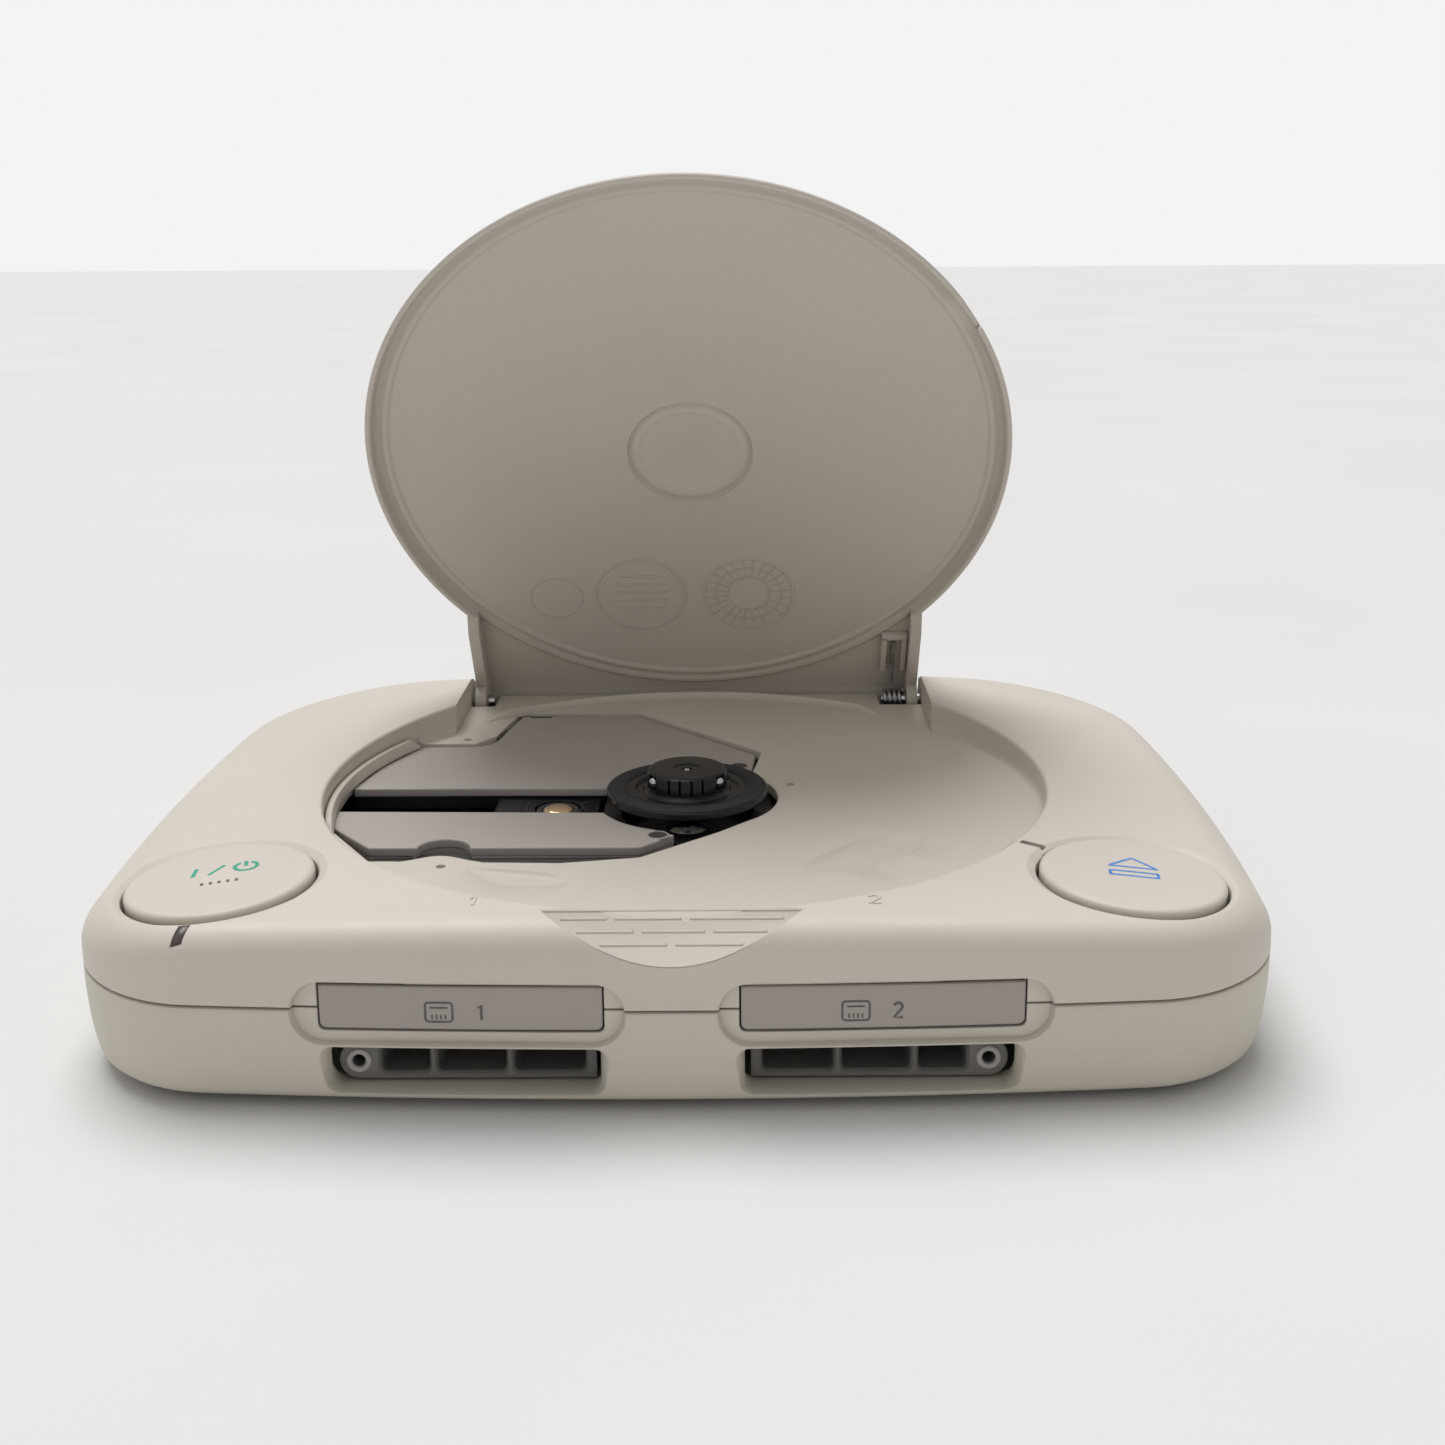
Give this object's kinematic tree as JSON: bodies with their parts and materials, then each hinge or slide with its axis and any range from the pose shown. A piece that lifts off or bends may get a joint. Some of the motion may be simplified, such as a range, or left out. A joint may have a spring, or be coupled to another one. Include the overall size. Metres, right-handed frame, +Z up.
{
  "type": "game console",
  "caption": "Slim rounded disc game console with a hinged round lid standing open, drive, buttons, card doors and controller ports.",
  "frame": {"origin": "on the table under the middle of the case, between the feet", "axes": "+X to the right seen from the front, +Y to the back, +Z up"},
  "size_m": [0.193, 0.1441, 0.1386],
  "materials": {
    "case": "fine matte",
    "case_low": "fine matte",
    "lid": "fine matte",
    "cover": "satin",
    "door": "satin",
    "dark": "matte",
    "black": "matte",
    "white": "satin",
    "rubber": "matte",
    "steel": "polished",
    "tin": "dull",
    "brass": "bright",
    "glass": "clear",
    "board": "solder mask",
    "lens_green": "gloss"
  },
  "bodies": {
    "case": {"upper_shell": "case", "lower_shell": "case_low", "hinge_pin_left": "steel", "hinge_pin_right": "steel", "lid_spring": "steel", "power_spring": "steel", "open_spring": "steel", "power_switch": "dark", "release_lever": "dark", "light_pipe": "lens_green", "card_socket_left": "dark", "card_socket_right": "dark", "port_left": "dark", "port_right": "dark", "port_contacts_left": "brass", "port_contacts_right": "brass", "port_board": "board", "main_board": "board", "shield_lower": "tin", "shield_upper": "tin", "drive_tray": "black", "drive_cover_back": "cover", "drive_cover_front": "cover", "spindle_motor": "steel", "guide_rod_a": "steel", "guide_rod_b": "steel", "sled_motor": "steel", "av_socket": "black", "power_inlet": "black", "inlet_pin": "steel", "foot_1": "rubber", "foot_2": "rubber", "foot_3": "rubber", "foot_4": "rubber", "case_screw_1": "steel", "case_screw_2": "steel", "case_screw_3": "steel", "case_screw_4": "steel", "case_screw_5": "steel"},
    "lid": {"lid": "lid", "lid_spring_clip": "lid"},
    "power_button": {"power_button": "case"},
    "open_button": {"open_button": "case"},
    "latch": {"latch": "black"},
    "door_left": {"card_door_left": "door"},
    "door_right": {"card_door_right": "door"},
    "turntable": {"turntable": "black", "spindle_pin": "steel"},
    "ball_a": {"hub_ball_a": "steel"},
    "ball_b": {"hub_ball_b": "steel"},
    "ball_c": {"hub_ball_c": "steel"},
    "sled": {"sled": "black"},
    "lens": {"lens": "glass"},
    "idler": {"idler_gear": "white"},
    "pinion": {"motor_pinion": "brass"}
  },
  "joints": [
    {"name": "lid_hinge", "type": "hinge", "parent": "case", "child": "lid", "pos_m": [0, 0.0655, 0.0245], "axis": [1, 0, 0], "range_deg": [0, 59.7], "stiffness_Nm_per_rad": 0.03, "springref_deg": -68.75},
    {"name": "power_press", "type": "slide", "parent": "case", "child": "power_button", "axis": [0.0525, 0.012, -0.9986], "range_m": [0, 0.0012], "stiffness_N_per_m": 300, "springref_m": -0.001},
    {"name": "open_press", "type": "slide", "parent": "case", "child": "open_button", "axis": [-0.0525, 0.012, -0.9986], "range_m": [0, 0.0018], "stiffness_N_per_m": 300, "springref_m": -0.001},
    {"name": "latch_slide", "type": "slide", "parent": "case", "child": "latch", "axis": [0.8387, -0.5446, 0], "range_m": [0, 0.0016]},
    {"name": "door_left_flap", "type": "hinge", "parent": "case", "child": "door_left", "pos_m": [-0.031, -0.0693, 0.0201], "axis": [1, 0, 0], "range_deg": [0, 80], "stiffness_Nm_per_rad": 0.002, "springref_deg": -22.92},
    {"name": "door_right_flap", "type": "hinge", "parent": "case", "child": "door_right", "pos_m": [0.031, -0.0693, 0.0201], "axis": [1, 0, 0], "range_deg": [0, 80], "stiffness_Nm_per_rad": 0.002, "springref_deg": -22.92},
    {"name": "spindle", "type": "hinge", "parent": "case", "child": "turntable", "pos_m": [0, 0, 0.024], "axis": [0, 0, 1], "continuous": true},
    {"name": "ball_a_slide", "type": "slide", "parent": "turntable", "child": "ball_a", "axis": [0, -1, 0], "range_m": [0, 0.0006], "stiffness_N_per_m": 200, "springref_m": -0.0005},
    {"name": "ball_b_slide", "type": "slide", "parent": "turntable", "child": "ball_b", "axis": [0.866, 0.5, 0], "range_m": [0, 0.0006], "stiffness_N_per_m": 200, "springref_m": -0.0005},
    {"name": "ball_c_slide", "type": "slide", "parent": "turntable", "child": "ball_c", "axis": [-0.866, 0.5, 0], "range_m": [0, 0.0006], "stiffness_N_per_m": 200, "springref_m": -0.0005},
    {"name": "sled_slide", "type": "slide", "parent": "case", "child": "sled", "axis": [-1, 0, 0], "range_m": [0, 0.033]},
    {"name": "lens_focus", "type": "slide", "parent": "sled", "child": "lens", "axis": [0, 0, 1], "range_m": [-0.0005, 0.0005], "stiffness_N_per_m": 60},
    {"name": "idler_spin", "type": "hinge", "parent": "case", "child": "idler", "pos_m": [-0.045, 0.0176, 0.0194], "axis": [0, 0, 1], "range_deg": [-460, 10]},
    {"name": "pinion_spin", "type": "hinge", "parent": "case", "child": "pinion", "pos_m": [-0.045, 0.0236, 0.0194], "axis": [0, 0, 1], "range_deg": [-10, 1060]}
  ],
  "couplings": [
    {"joint": "latch_slide", "follows": "open_press", "ratio": 0.83},
    {"joint": "idler_spin", "follows": "sled_slide", "rad_per_m": -238.1},
    {"joint": "pinion_spin", "follows": "sled_slide", "rad_per_m": 555.56}
  ]
}
